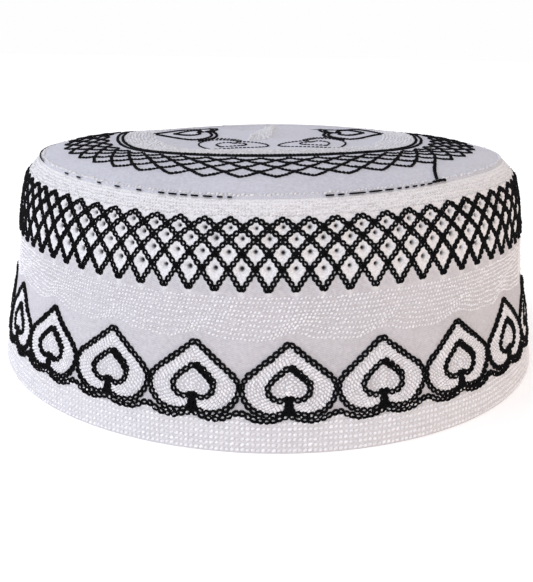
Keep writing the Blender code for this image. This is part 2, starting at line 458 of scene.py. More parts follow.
def make_piece(name, vertices, faces, corners, material, masks=None):
    """Object at the origin from vertices and quads, with points that meet welded together, so that
    quads at a pole become triangles, a UV map in metres and, if given, two masks on its points."""
    _, first, inverse = np.unique(np.round(vertices / (2e-3 * MM)).astype(np.int64), axis=0,
                                  return_index=True, return_inverse=True)
    faces = inverse.reshape(-1)[faces]
    vertices = vertices[first]
    kept = faces != np.roll(faces, 1, axis=1)
    whole = kept.sum(axis=1) > 2
    faces, corners, kept = faces[whole], corners[whole], kept[whole]
    ends = np.cumsum(kept.sum(axis=1))
    mesh = bpy.data.meshes.new(name)
    mesh.vertices.add(len(vertices))
    mesh.vertices.foreach_set("co", vertices.astype(np.float32).ravel())
    mesh.loops.add(int(ends[-1]))
    mesh.loops.foreach_set("vertex_index", faces[kept].astype(np.int32))
    mesh.polygons.add(len(faces))
    mesh.polygons.foreach_set("loop_start", np.append(0, ends[:-1]).astype(np.int32))
    mesh.update(calc_edges=True)
    uv = mesh.uv_layers.new(name="Cloth")
    uv.data.foreach_set("uv", corners[kept].astype(np.float32).ravel())
    for i, label in enumerate(MASKS if masks is not None else ()):
        layer = mesh.attributes.new(label, "FLOAT", "POINT")
        layer.data.foreach_set("value", masks[first, i].astype(np.float32))
    mesh.materials.append(material)
    mesh.shade_smooth()
    old = bpy.data.objects.get(name)
    if old:
        bpy.data.objects.remove(old)
    piece = bpy.data.objects.new(name, mesh)
    bpy.context.scene.collection.objects.link(piece)
    return piece


def add_node(tree, kind, inputs=(), **settings):
    """New node with its settings and its inputs, each a value or an output socket to link."""
    node = tree.nodes.new(kind)
    for key, value in settings.items():
        setattr(node, key, value)
    for key, value in dict(inputs).items():
        if isinstance(value, bpy.types.NodeSocket):
            tree.links.new(value, node.inputs[key])
        else:
            node.inputs[key].default_value = value
    return node


def maths(tree, operation, *values, **settings):
    """Output of a Math node on values or sockets."""
    return add_node(tree, "ShaderNodeMath", dict(enumerate(values)), operation=operation,
                    **settings).outputs[0]


def noise(tree, place, scale, detail, **more):
    """Grey noise of one scale at a place."""
    inputs = {"Vector": place, "Scale": scale, "Detail": detail, **more}
    return add_node(tree, "ShaderNodeTexNoise", inputs).outputs["Fac"]


def ranged(tree, value, low, high, first=0.0, last=1.0):
    """A value taken from one range to another, and kept inside it."""
    inputs = {"Value": value, "From Min": low, "From Max": high, "To Min": first, "To Max": last}
    return add_node(tree, "ShaderNodeMapRange", inputs).outputs[0]


def blend(tree, share, first, second, kind="RGBA"):
    """Mix of two colours or, of the kind FLOAT, of two values."""
    inputs = {"Factor": share, "A": first, "B": second}
    return add_node(tree, "ShaderNodeMix", inputs, data_type=kind).outputs["Result"]


def bumped(tree, shader, height, strength, distance):
    """The shader's normal, raised by a height."""
    inputs = {"Height": height, "Strength": strength, "Distance": distance}
    tree.links.new(add_node(tree, "ShaderNodeBump", inputs).outputs[0], shader.inputs["Normal"])


def shade_of(colour, share):
    """An opaque colour, its red, green and blue times a share."""
    return [c * share for c in colour[:3]] + [1.0]


def effect_group(name, size, results):
    """Empty shader group with a place and one number as inputs, its results as outputs, and its
    input and output nodes."""
    group = bpy.data.node_groups.new(name, "ShaderNodeTree")
    group.interface.new_socket("Place", in_out="INPUT", socket_type="NodeSocketVector")
    group.interface.new_socket(size, in_out="INPUT", socket_type="NodeSocketFloat")
    for label in results:
        group.interface.new_socket(label, in_out="OUTPUT", socket_type="NodeSocketFloat")
    return group, group.nodes.new("NodeGroupInput"), group.nodes.new("NodeGroupOutput")


def weave_group(name):
    """Plain weave: the product of two sine ridges, along and across, on a UV map in metres."""
    group, given, result = effect_group(name, "Threads", ("Height", "Shade"))
    scaled = add_node(group, "ShaderNodeVectorMath", {0: given.outputs["Place"]}, operation="SCALE")
    group.links.new(given.outputs["Threads"], scaled.inputs["Scale"])
    wobble = add_node(group, "ShaderNodeTexNoise",
                      {"Vector": scaled.outputs[0], "Scale": 0.35, "Detail": 2.0})
    moved = add_node(group, "ShaderNodeVectorMath",
                     {0: wobble.outputs["Color"], 1: (2.2, 2.2, 0.0), 2: scaled.outputs[0]},
                     operation="MULTIPLY_ADD")
    parts = add_node(group, "ShaderNodeSeparateXYZ", {0: moved.outputs[0]})
    crossed = maths(group, "MULTIPLY", *[maths(group, "SINE", parts.outputs[axis]) for axis in ("X", "Y")])
    height = maths(group, "MULTIPLY_ADD", crossed, 0.6, noise(group, scaled.outputs[0], 1.3, 3.0))
    group.links.new(height, result.inputs["Height"])
    group.links.new(ranged(group, height, -0.3, 1.3), result.inputs["Shade"])
    return group


def mottle_group(name):
    """Slow patches of slightly duller cloth, from two sizes of noise on the object's own place."""
    group, given, result = effect_group(name, "Size", ("Mask",))
    size = given.outputs["Size"]
    wide, close = [noise(group, given.outputs["Place"], scale, 3.0)
                   for scale in (size, maths(group, "MULTIPLY", size, 30.0))]
    both = maths(group, "MULTIPLY_ADD", wide, 0.5, close)
    group.links.new(ranged(group, both, 0.55, 0.95), result.inputs["Mask"])
    return group


def twist_group(name):
    """Twisted thread: slanting sine ridges on the thread's own map, roughened with fibre noise."""
    group, given, result = effect_group(name, "Turns", ("Height", "Shade"))
    parts = add_node(group, "ShaderNodeSeparateXYZ", {0: given.outputs["Place"]})
    slant = maths(group, "ADD", parts.outputs["X"], parts.outputs["Y"])
    ridge = maths(group, "SINE", maths(group, "MULTIPLY", slant, given.outputs["Turns"]))
    height = maths(group, "MULTIPLY_ADD", ridge, 0.5, noise(group, given.outputs["Place"], 9000.0, 2.0))
    group.links.new(height, result.inputs["Height"])
    group.links.new(ranged(group, height, -0.2, 1.2), result.inputs["Shade"])
    return group


def shared_effect(tree, name, build, place, size_name, size):
    """Node of a shared group, which is built the first time, with its place and its number."""
    group = bpy.data.node_groups.get(name) or build(name)
    return add_node(tree, "ShaderNodeGroup", {"Place": place, size_name: size}, node_tree=group)


def empty_material(name):
    """New material with only its shader and output, and the shader."""
    material = bpy.data.materials.new(name)
    material.use_nodes = True
    return material, material.node_tree, material.node_tree.nodes["Principled BSDF"]


def cloth_finish(name, light, dull, eyelets):
    """White woven cotton: two close whites mixed by slow noise patches and by the weave, whose valleys
    take the duller white as painted shade; weave in the roughness and bump, and, where the masks say,
    eyelets painted near-black and grey as shade, and the brighter, knotted look of cloth covered in thread."""
    material, tree, shader = empty_material(name)
    uv = add_node(tree, "ShaderNodeUVMap", uv_map="Cloth").outputs[0]
    place = add_node(tree, "ShaderNodeTexCoord").outputs["Object"]
    weave = shared_effect(tree, "Plain weave", weave_group, uv, "Threads", 12500.0)
    # Slow noise patches of slightly duller tone, at random
    mottle = shared_effect(tree, "Soft mottling", mottle_group, place, "Size", 38.0).outputs["Mask"]
    patch = maths(tree, "MULTIPLY", mottle, 0.6)
    # The weave's valleys are painted a little duller, as shade; the noise patches add duller tone at random
    both = maths(tree, "MULTIPLY_ADD", weave.outputs["Shade"], -1.1, patch)
    shown = blend(tree, maths(tree, "ADD", both, 0.7, use_clamp=True), light, dull)
    height = maths(tree, "MULTIPLY_ADD", mottle, 1.4, weave.outputs["Height"])
    if eyelets:
        worked, eyelet_shade = [add_node(tree, "ShaderNodeAttribute", attribute_name=label).outputs["Fac"]
                        for label in ("worked", "eyelet")]
        knots = ranged(tree, noise(tree, uv, 1700.0, 2.0, Roughness=0.6), 0.32, 0.62)
        white = bpy.context.scene.cap_colours.white_thread
        stitched = blend(tree, knots, shade_of(white, 0.68), shade_of(white, 0.90))
        shown = blend(tree, worked, shown, stitched)
        height = blend(tree, worked, height, maths(tree, "MULTIPLY", knots, 0.6), "FLOAT")
        # Where the eyelet mask says, the cloth is painted near-black and grey, as shade in and round each
        # hole
        shown = blend(tree, eyelet_shade, shown, EYELET_PAINTED_SHADE)
    tree.links.new(shown, shader.inputs["Base Color"])
    rough = ranged(tree, weave.outputs["Shade"], 0.0, 1.0, 0.95, 0.8)
    tree.links.new(rough, shader.inputs["Roughness"])
    bumped(tree, shader, height, 0.6, 0.15 * MM)
    shader.inputs["Sheen Weight"].default_value = 0.15
    shader.inputs["Sheen Roughness"].default_value = 0.5
    shader.inputs["Specular IOR Level"].default_value = 0.3
    return material


def thread_finish(name, colour, lighter, roughness, sheen):
    """Twisted cotton thread: its ridges painted a little lighter and its valleys darker, as painted
    highlight and shade, the ridges smoother; and one stitch painted a little lighter than the next,
    for the light that each loop catches."""
    material, tree, shader = empty_material(name)
    uv = add_node(tree, "ShaderNodeUVMap", uv_map="Cloth").outputs[0]
    place = add_node(tree, "ShaderNodeTexCoord").outputs["Object"]
    twist = shared_effect(tree, "Thread twist", twist_group, uv, "Turns", 14000.0)
    # chance: one stitch painted a little lighter than the next, for the light each loop catches
    chance = ranged(tree, noise(tree, place, 1300.0, 1.0), 0.3, 0.66)
    both = blend(tree, 0.65, twist.outputs["Shade"], chance, "FLOAT")
    tree.links.new(blend(tree, both, colour, lighter), shader.inputs["Base Color"])
    rough = ranged(tree, twist.outputs["Shade"], 0.0, 1.0, roughness + 0.12, roughness)
    tree.links.new(rough, shader.inputs["Roughness"])
    bumped(tree, shader, twist.outputs["Height"], 0.5, 0.08 * MM)
    shader.inputs["Sheen Weight"].default_value = sheen
    shader.inputs["Specular IOR Level"].default_value = 0.06
    return material


# The duller and the lighter white of each white thread, as shares of its colour: painted shade in its
# valleys and painted highlight on its ridges. The second thread is the first painted darker, as shade on
# the crown and the band under the seam
THREAD_SHARES = {"White thread": (0.76, 1.16), "White thread in painted shade": (0.60, 0.92)}


def finish_named(name):
    """One of the cap's finishes by its name, built the first time."""
    colours = bpy.context.scene.cap_colours
    if name in bpy.data.materials:
        return bpy.data.materials[name]
    if name == "Black thread":
        return thread_finish(name, colours.black_thread, BLACK_PAINTED_SHEEN, 0.7, 0.0)
    if name in THREAD_SHARES:
        duller, lighter = [shade_of(colours.white_thread, share) for share in THREAD_SHARES[name]]
        return thread_finish(name, duller, lighter, 0.6, 0.1)
    # The crown's finish: the same cotton in darker colours, painted shade
    if name == "Crown cloth":
        return cloth_finish(name, colours.crown, colours.crown_shade, False)
    return cloth_finish(name, colours.cloth, colours.shade, True)


def settle(piece):
    """The piece rides on the cap's one body."""
    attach(piece, "root")


# How the eyelet cells are divided, from one side of a cell to the other, and what each ring does
CELL_STEPS = np.array([-1.0, -0.7, -0.42, -0.25, -0.13, 0.13, 0.25, 0.42, 0.7, 1.0])
RING_SHARES = np.array([0.0, 0.13, 0.25, 0.42, 0.7, 1.0])
RING_SIZES = np.array([0.0, 0.84, 1.0, 1.75, 2.9, 4.2])
RING_LIFTS = np.array([-1.1, -1.1, -0.75, -0.22, 0.14, 0.02]) * MM
RING_ROUND = np.array([1.0, 1.0, 1.0, 1.0, 0.5, 0.0])
# Share of painted shade on each ring: black in the hole, grey round it
RING_PAINTED_SHADE = np.array([1.0, 1.0, 0.72, 0.10, 0.0, 0.0])


def eyelet_cells():
    """The lattice's cells with their eyelets. Each cell is a square grid laid between four
    crossings; its rings turn from the cell's own outline to circles round the eyelet, and sink
    into a blind hole in the middle. The hole is painted near-black and its rings grey, as shade."""
    sizes = bpy.context.scene.cap_stitches
    columns = sizes.wall_columns
    centre_step = np.repeat([1.0, 2.0, 3.0, 4.0], columns)
    centre_column = np.tile(np.arange(columns, dtype=float), 4) + np.repeat([0, 0.5, 0, 0.5], columns)
    u, v = np.meshgrid(CELL_STEPS, CELL_STEPS, indexing="ij")
    column = centre_column[:, None, None] + (u - v) / 4
    step = centre_step[:, None, None] + (u + v) / 2
    angle, height = lattice_angle(column), level_height(step, WALL_LEVELS)
    middle_angle = lattice_angle(centre_column)[:, None, None]
    middle_height = level_height(centre_step, WALL_LEVELS)[:, None, None]
    radius = wall_radius(middle_height)
    share = np.maximum(np.abs(u), np.abs(v))
    across, rise = (angle - middle_angle) * radius, height - middle_height
    turn = np.arctan2(rise, across)
    chance = np.random.default_rng(EYELET_SEED).normal(0.0, 1.0, (3, len(centre_step), 1, 1))
    sideways, upwards, larger = np.clip(chance, -2, 2)
    ring = np.interp(share, RING_SHARES, RING_SIZES) * sizes.eyelet / 2
    ring = ring * (0.80 + 0.06 * centre_step[:, None, None]) * (1.0 + 0.09 * larger)
    roundness = np.interp(share, RING_SHARES, RING_ROUND)
    aside = (0.15 + 0.14 * sideways) * MM
    above = (0.10 + 0.10 * centre_step[:, None, None] + 0.12 * upwards) * MM
    across = across + roundness * (aside + ring * np.cos(turn) - across)
    rise = rise + roundness * (above + ring * np.sin(turn) - rise)
    angle, height = middle_angle + across / radius, middle_height + rise
    # dark: the share of painted shade at each point, black in the hole and grey round it
    lift, dark = [np.broadcast_to(np.interp(share, RING_SHARES, rings), angle.shape)
                  for rings in (RING_LIFTS, RING_PAINTED_SHADE)]
    points, _ = wall_surface(angle, height, lift)
    starts = np.arange(len(centre_step)) * share.size
    faces = (grid_faces(share.shape)[None, :, ::-1] + starts[:, None, None]).reshape(-1, 4)
    place = np.stack((angle * MAP_RADIUS, height), -1).reshape(-1, 2)
    masks = np.column_stack((dark.reshape(-1), np.ones(dark.size)))
    return points.reshape(-1, 3), faces, place[faces], masks


def wall_wrap():
    """The rest of the wall as one closed band: up from the lattice's top edge to the seam, over
    the lip, down the inside, round the hem and up the outside to the lattice's lower points."""
    shape = bpy.context.scene.cap_shape
    columns = bpy.context.scene.cap_stitches.wall_columns
    half = (CELL_STEPS + 1) / 4
    offsets = np.concatenate((half[:-1], 1 - half[:0:-1]))
    column = np.append((np.arange(columns)[:, None] + offsets).ravel(), float(columns))
    fold = np.abs(column - np.round(column)) * 2
    angle = lattice_angle(column)
    top, bottom = level_height(fold, WALL_LEVELS), level_height(4 + fold, WALL_LEVELS)
    edge = RING_LIFTS[-1]
    seam, cloth = shape.seam_height, shape.cloth - shape.bed
    above = [(top + (seam - top) * share, edge * (1 - min(1, share * 3)))
             for share in (0.0, 0.2, 0.5, 0.8, 0.93)]
    lip = [(seam, 0.0), (seam + 0.02 * MM, -0.35 * MM), (seam - 0.3 * MM, -1.1 * MM)]
    inside = [(seam * share, -cloth) for share in (0.985, 0.9, 0.7, 0.45, 0.2, 0.02)]
    hem = [(0.12 * MM, -cloth + 0.15 * MM), (0.0, -cloth + 0.5 * MM), (0.0, -0.5 * MM),
           (0.15 * MM, -0.15 * MM), (0.5 * MM, 0.0)]
    below = [(bottom * share, edge * (1 - min(1, (1 - share) * 6))) for share in np.linspace(0.03, 1.0, 14)]
    height, lift = [np.stack([np.broadcast_to(value, angle.shape) for value in values], 1)
                    for values in zip(*above, *lip, *inside, *hem, *below)]
    points, _ = wall_surface(angle[:, None], height, lift)
    points[..., 2] = np.where(height == 0.0, 0.0, np.maximum(points[..., 2], 0.0))
    faces = grid_faces(height.shape)
    along = np.cumsum(np.linalg.norm(np.diff(points, axis=1, prepend=points[:, :1]), axis=2), axis=1)
    place = np.stack((np.broadcast_to(angle[:, None] * MAP_RADIUS, along.shape), along + 0.06), -1)
    worked = 0.8 * fade(height - 56.0 * MM, MM) + 0.5 * fade(10.0 * MM - height, MM)
    worked = worked * (lift > -cloth / 2)
    masks = np.column_stack((np.zeros(height.size), worked.reshape(-1)))
    return points.reshape(-1, 3), faces, place.reshape(-1, 2)[faces], masks


def joined(*parts):
    """Several sets of vertices, faces, corners and masks as one."""
    starts = np.cumsum([0] + [len(part[0]) for part in parts[:-1]])
    faces = [part[1] + start for part, start in zip(parts, starts)]
    rest = [np.concatenate(values) for values in zip(*[(part[0], *part[2:]) for part in parts])]
    return (rest[0], np.concatenate(faces), *rest[1:])


def wall_lattice_lines():
    """The wall's lattice: one arc for each peak, from its lower point on one side over the peak
    to the other, its height the smooth curve through the levels."""
    columns = bpy.context.scene.cap_stitches.wall_columns
    offset = np.linspace(-2.5, 2.5, 140)
    step = 2 * np.sqrt(offset**2 + 0.11**2)
    peak = 0.35 * MM * np.exp(-((offset / 0.3) ** 2))
    height = level_height(np.minimum(step, 5.0), WALL_LEVELS) + peak
    return [wall_surface(lattice_angle(column + offset), height) for column in range(columns)]


def mirrored(half):
    """The whole outline from its right half: the left one back to the tip, then the right one."""
    left = half[::-1] * (-1, 1)
    return np.concatenate((left, half[1:]))


def wall_heart_angles():
    """Even angle of each heart on the wall."""
    count = bpy.context.scene.cap_stitches.hearts
    return [TURN / count * heart + math.radians(WALL_HEART_START) for heart in range(count)]


def wall_line(base, path):
    """Line on the wall along a path, given sideways from an angle in degrees and up in mm."""
    return wall_surface(drifted(base + np.radians(path[:, 0])), path[:, 1] * MM)


def wall_motif_lines():
    """The wall's hearts: outer outline, inner outline, its second thread and the stem of each,
    and the scalloped line beneath."""
    outer, inner = line_through(WALL_HEART), line_through(WALL_INNER_HEART)
    scallop = line_through(SCALLOP, 60)
    stem = np.column_stack((np.full(STEM_POINTS, 0.22), np.linspace(*HEART_STEM, STEM_POINTS)))
    paths = [path * (side, 1) for path in (outer, inner) for side in SIDES]
    paths += [inner[:84] + (0.22, 0.38)]
    paths += [path * (side, 1) for path in (stem, scallop) for side in SIDES]
    return [wall_line(base, path) for base in wall_heart_angles() for path in paths]


def crown_lattice_lines():
    """The crown's lattice: straight runs outwards and back about the embroidery's centre, with
    rounded turns on the inner side, and the two circles inside it."""
    columns = bpy.context.scene.cap_stitches.crown_columns
    offset = np.linspace(-2.5, 2.5, 110)
    step = 5.0 - 2 * np.sqrt(offset**2 + 0.03**2)
    radius = level_height(np.maximum(step, 0.0), CROWN_LEVELS)
    lines = []
    for column in range(columns):
        angle = TURN * (column + 0.5 + offset) / columns + math.radians(CROWN_LATTICE_START)
        lines.append(crown_surface(*places_round(angle, radius, CROWN_CENTRE)))
    return lines + [crown_circle(radius, RING_CENTRE, 500) for radius in RING_RADII]


def crown_motif_lines(hearts):
    """Some of the crown's hearts, their tips outward: outer and inner outline, scallop and stem of
    each, turned to its own angle about the embroidery's centre. The scallop has a gap at the front,
    and the two hearts at the back stand further out, up to where their scallop meets its
    neighbours'."""
    count = bpy.context.scene.cap_stitches.crown_hearts
    gaps = ((0, -1), (count - 1, 1))
    stem = np.column_stack((np.zeros(STEM_POINTS), np.linspace(*CROWN_STEM, STEM_POINTS)))
    outer, inner, scallop = [line_through(part) for part in (CROWN_HEART, CROWN_INNER_HEART, CROWN_SCALLOP)]
    taper = 1.0 - (scallop[:, 0] / scallop[-1, 0]) ** 2
    lines = []
    for heart in hearts:
        angle = TURN * (heart + 0.5) / count + math.radians(CROWN_HEART_START)
        further = BACK_HEARTS_FURTHER if heart in (count // 2 - 1, count // 2) else 0.0
        paths = [(path, side, further) for path in (outer, inner) for side in SIDES]
        paths += [(scallop, side, further * taper) for side in SIDES if (heart, side) not in gaps]
        for path, side, shift in (*paths, (stem, 1, further)):
            across, out = side * path[:, 0] * MM, (CROWN_HEART_TIP + shift - path[:, 1]) * MM
            x = CROWN_CENTRE[0] + out * math.sin(angle) + across * math.cos(angle)
            y = CROWN_CENTRE[1] - out * math.cos(angle) + across * math.sin(angle)
            lines.append(crown_surface(x, y))
    return lines


# Where black thread shows in the seam: first and last angle of each stitch or run, in degrees
SEAM_RUNS = ((-97, -64), (-50, -48.5), (-45, -43.6), (-38, -36.9), (-33, -31.6), (-27.5, -26.2),
             (-22.5, -21.0), (-20.3, -18.4), (-17.8, -16.2), (-15.6, -14.0), (-13.2, -11.2), (-10.4, -9.2),
             (-8.4, -7.4), (10.2, 12.0), (12.6, 14.0), (14.8, 18.4), (18.9, 21.9), (22.4, 24.4),
             (25.2, 26.2), (27.0, 28.0), (28.8, 30.0), (30.8, 31.9), (32.6, 34.0))


def seam_thread_lines():
    """The black thread that shows in the seam: runs and single stitches along its groove."""
    edge, lift = seam_radius() - 0.1 * MM, np.full(30, 0.1 * MM)
    turns = [np.radians(np.linspace(start, end, 30)) for start, end in SEAM_RUNS]
    return [crown_surface(*places_round(angle, edge), lift) for angle in turns]


def crossing_lines():
    """The one black line that crosses from the crown's lattice to the seam, its knot and short
    tail on the seam."""
    share = np.linspace(0.0, 1.0, 30)
    x = (46.0 - 1.6 * share - 0.5 * np.sin(3 * share)) * MM
    y = (-49.4 - 12.2 * share) * MM
    tail = np.radians(np.linspace(34.4, 38.0, 20))
    return [crown_surface(x, y), crown_surface(*places_round(tail, 76.0 * MM))]


def running_stitch(lines, thread):
    """Plain thread along each line as one round strand, thick in its middle and pointed at its
    ends: a ring of points is carried along the line's frame, its radius a half ellipse."""
    vertices, faces, corners, start = [], [], [], 0
    section = TURN * np.arange(STRAND_SIDES) / STRAND_SIDES
    for points, normals in lines:
        ahead = np.gradient(points, axis=0)
        ahead /= np.linalg.norm(ahead, axis=1, keepdims=True)
        across = np.cross(normals, ahead)
        share = np.linspace(-1.0, 1.0, len(points))
        radius = thread / 2 * np.maximum(1.0 - np.abs(share) ** 6, 0.0) ** 0.5
        ring = (across[:, None] * np.cos(section)[None, :, None]
                + normals[:, None] * np.sin(section)[None, :, None])
        strand = points[:, None] + ring * radius[:, None, None]
        index = start + np.arange(len(points) * STRAND_SIDES).reshape(-1, STRAND_SIDES)
        faces.append(quads(np.concatenate((index, index[:, :1]), axis=1))[:, ::-1])
        place = np.broadcast_arrays(share[:, None] * 2 * MM, section * thread / 2)
        corners.append(np.stack(place, -1).reshape(-1, 2))
        vertices.append(strand.reshape(-1, 3))
        start += index.size
    faces = np.concatenate(faces)
    return np.concatenate(vertices), faces, np.concatenate(corners)[faces]


def wall_row(height, phase=0.0):
    """One row of white stitches round the wall."""
    angle = np.linspace(0.0, TURN, 721) + phase
    return wall_surface(angle, np.broadcast_to(height, angle.shape))


def rim_lines():
    """Level rows of white stitches from the hem up to the scallop."""
    pitch = bpy.context.scene.cap_stitches.row_pitch
    return [wall_row(1.0 * MM + pitch * i, 0.01 * i) for i in range(7)]


def band_edge(angle):
    """Lower edge of the plain rows: it dips between the hearts and rises over their tips."""
    count = bpy.context.scene.cap_stitches.hearts
    turn = count * (angle - math.radians(WALL_HEART_START))
    return (30.2 + 0.9 * np.cos(turn) + 0.35 * np.cos(2 * turn + 0.6)) * MM


def middle_lines():
    """The rows between hearts and lattice: wavy ones that follow the edge below and flatten out,
    then level ones up to the lattice."""
    pitch = 0.78 * bpy.context.scene.cap_stitches.row_pitch
    angle = np.linspace(0.0, TURN, 1441)
    edge = band_edge(angle)
    lines = []
    for i in range(10):
        blend = np.clip((i - 1) / 5, 0, 1)
        height = edge * (1 - blend) + 30.2 * MM * blend + pitch * i
        lines.append(wall_surface(angle + 0.013 * i, height))
    return lines


def top_lines():
    """Fine rows between the lattice's peaks and the seam."""
    return [wall_row((60.9 + 0.72 * i) * MM, 0.007 * i) for i in range(5)]


def heart_fill_lines():
    """White rows inside each heart, one inside the other: between the outer and the inner outline,
    and in the inner heart, drawn in towards its middle."""
    outer, inner = line_through(WALL_HEART, 80), line_through(WALL_INNER_HEART, 80)
    paths = [mirrored((outer * (1 - share) + inner * share)[:-4])
             for share in (0.12, 0.25, 0.38, 0.50, 0.62, 0.75, 0.87)]
    paths += [mirrored(inner * (1 - share) + HEART_MIDDLE * share) for share in (0.22, 0.44, 0.66, 0.88)]
    return [wall_line(base, path) for base in wall_heart_angles() for path in paths]


def crown_row_lines():
    """White rows inside the crown's circles, round the embroidery's centre, and one at the seam."""
    rows = [crown_circle(radius * MM, RING_CENTRE, 400) for radius in np.arange(48.3, 38.6, -1.05)]
    return rows + [crown_circle(75.4 * MM, (0.0, 0.0), 400)]


def middle_knot_lines():
    """The patch of white stitches that gathers the middle of the crown: lines from front to back,
    each with its place sideways and its first and last place, in mm."""
    share = np.linspace(0.0, 1.0, 40)
    return [crown_surface((left + 1.3 * share) * MM, (front + (back - front) * share) * MM)
            for left, front, back in ((-7.4, -15.0, -5.0), (-6.5, -15.0, -2.0), (-5.6, -15.0, 2.0),
                                      (-4.7, -15.0, 6.0), (-3.8, -15.0, 10.0), (-2.9, -15.0, 12.0),
                                      (-2.0, -15.0, 12.0), (-1.1, -14.0, 12.0), (-0.2, -12.0, 12.0))]


class PRAYERCAP_OT_wall_cloth(bpy.types.Operator):
    """Make the wall's cloth with its eyelets, hem and inner side"""

    bl_idname = "prayercap.wall_cloth"
    bl_label = "Wall cloth"

    def execute(self, context):
        parts = joined(eyelet_cells(), wall_wrap())
        piece = make_piece("wall_cloth", *parts[:3], finish_named("Eyeleted cloth"), parts[3])
        settle(piece)
        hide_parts("side_wall")
        return {"FINISHED"}


class PRAYERCAP_OT_crown_cloth(bpy.types.Operator):
    """Make the crown's cloth, softly puckered between its rows and in the cells of its lattice"""

    bl_idname = "prayercap.crown_cloth"
    bl_label = "Crown cloth"

    def execute(self, context):
        piece = make_piece("crown_cloth", *crown_cloth(), finish_named("Crown cloth"))
        settle(piece)
        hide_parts("crown")
        return {"FINISHED"}


def crown_cloth():
    """A round of cloth: the dome out to its edge, over the rounded edge and back underneath to the
    middle, on a grid of angle and radius."""
    shape = bpy.context.scene.cap_shape
    edge = seam_radius() - shape.seam_gap
    top = edge * np.concatenate((np.linspace(0.0, 0.66, 34), np.linspace(0.67, 0.985, 40)))
    angle = np.linspace(-math.pi, math.pi, 421)
    radius = np.concatenate((top, [edge - 0.15 * MM, edge, edge, edge - 0.3 * MM], top[::-7], [0.0]))
    under = np.arange(len(radius)) > len(top) + 1
    drop = np.zeros(len(radius))
    drop[len(top):len(top) + 4] = np.array([0.1, 0.5, 1.4, 1.9]) * MM
    drop[len(top) + 4:] = shape.cloth
    x, y = places_round(*np.meshgrid(angle, radius, indexing="ij"))
    relief = np.where(under, 0.0, crown_relief(x, y))
    points = np.stack((x, y, crown_height(x, y) - drop + relief), -1)
    faces = grid_faces(x.shape)[:, ::-1]
    return points.reshape(-1, 3), faces, np.stack((x, y), -1).reshape(-1, 2)[faces]


def black_piece(name, lines, pitch_share=1.0, width_share=1.0, reach=1.36, points=8):
    """Black chain stitch along lines, as one piece. Each link reaches over its pitch into the one
    before, or leaves a gap where the reach is less than one."""
    sizes = bpy.context.scene.cap_stitches
    pitch, thread = sizes.pitch * pitch_share, sizes.thread * width_share
    link = chain_link(pitch * reach, sizes.width * width_share, thread, points)
    parts = stitches(lines, pitch, link, True, thread)
    settle(make_piece(name, *parts, finish_named("Black thread")))


# White thread, piece by piece: pitch, width and height of a stitch in mm, slant in degrees
WhiteWork = namedtuple("WhiteWork", "name lines pitch width height slant unevenness rings finish")
BRIGHT, SHADED_WHITE = THREAD_SHARES
WHITE_WORK = (
    WhiteWork("rim_rows", rim_lines, 1.35, 1.0, 0.4, 30.0, 0.8, FULL_RINGS, BRIGHT),
    WhiteWork("middle_rows", middle_lines, 1.05, 0.72, 0.42, 40.0, 1.5, FINE_RINGS, BRIGHT),
    # top_rows, crown_rows and middle_knots take the white thread in painted shade
    WhiteWork("top_rows", top_lines, 0.85, 0.75, 0.18, 20.0, 1.8, FINE_RINGS, SHADED_WHITE),
    WhiteWork("heart_fill", heart_fill_lines, 1.0, 0.74, 0.26, 32.0, 1.0, FULL_RINGS, BRIGHT),
    WhiteWork("crown_rows", crown_row_lines, 1.1, 0.62, 0.36, 35.0, 2.2, FULL_RINGS, SHADED_WHITE),
    WhiteWork("middle_knots", middle_knot_lines, 0.95, 0.8, 0.55, 35.0, 2.5, FULL_RINGS, SHADED_WHITE),
)


def white_piece(work):
    """White stitches along their lines, close together and slanting, as one piece."""
    pitch, width, height = work.pitch * MM, work.width * MM, work.height * MM
    hump = slanted(raised_stitch(pitch * 1.12, width, height, work.rings), math.radians(work.slant))
    parts = stitches(work.lines(), pitch, hump, False, width / 2, work.unevenness, 0.3)
    settle(make_piece(work.name, *parts, finish_named(work.finish)))


class PRAYERCAP_OT_wall_stitch(bpy.types.Operator):
    """Make the black lattice and hearts of the wall"""

    bl_idname = "prayercap.wall_stitch"
    bl_label = "Wall embroidery"

    def execute(self, context):
        black_piece("wall_lattice", wall_lattice_lines())
        black_piece("wall_hearts", wall_motif_lines(), 1.18, 1.08)
        thread = context.scene.cap_stitches.thread
        strands = running_stitch(seam_thread_lines(), thread * SEAM_THREAD_SHARE)
        settle(make_piece("seam_thread", *strands, finish_named("Black thread")))
        black_piece("crossing_thread", crossing_lines(), 0.81, 0.62)
        return {"FINISHED"}


class PRAYERCAP_OT_crown_stitch(bpy.types.Operator):
    """Make the black lattice, circles and hearts of the crown"""

    bl_idname = "prayercap.crown_stitch"
    bl_label = "Crown embroidery"

    def execute(self, context):
        black_piece("crown_lattice", crown_lattice_lines(), 0.72, 0.6, points=6)
        count = context.scene.cap_stitches.crown_hearts
        black_piece("crown_hearts", crown_motif_lines(range(1, count - 1)), 0.75, 0.6)
        black_piece("front_crown_hearts", crown_motif_lines((0, count - 1)), 0.85, 0.42, 0.9)
        return {"FINISHED"}


class PRAYERCAP_OT_white_stitch(bpy.types.Operator):
    """Make the white rows of the wall and crown and the filling of the hearts"""

    bl_idname = "prayercap.white_stitch"
    bl_label = "White stitching"

    def execute(self, context):
        for work in WHITE_WORK:
            white_piece(work)
        return {"FINISHED"}


def add_light(light):
    """Square soft light at a place, turned to an aim."""
    data = bpy.data.lights.new(light.name, "AREA")
    data.size, data.energy, data.color = light.size, light.power, light.colour
    lamp = bpy.data.objects.new(light.name, data)
    lamp.location = light.place
    x, y, z = np.array(light.aim) - np.array(light.place)
    lamp.rotation_euler = (math.atan2(math.hypot(x, y), -z), 0.0, math.atan2(-x, y))
    bpy.context.scene.collection.objects.link(lamp)


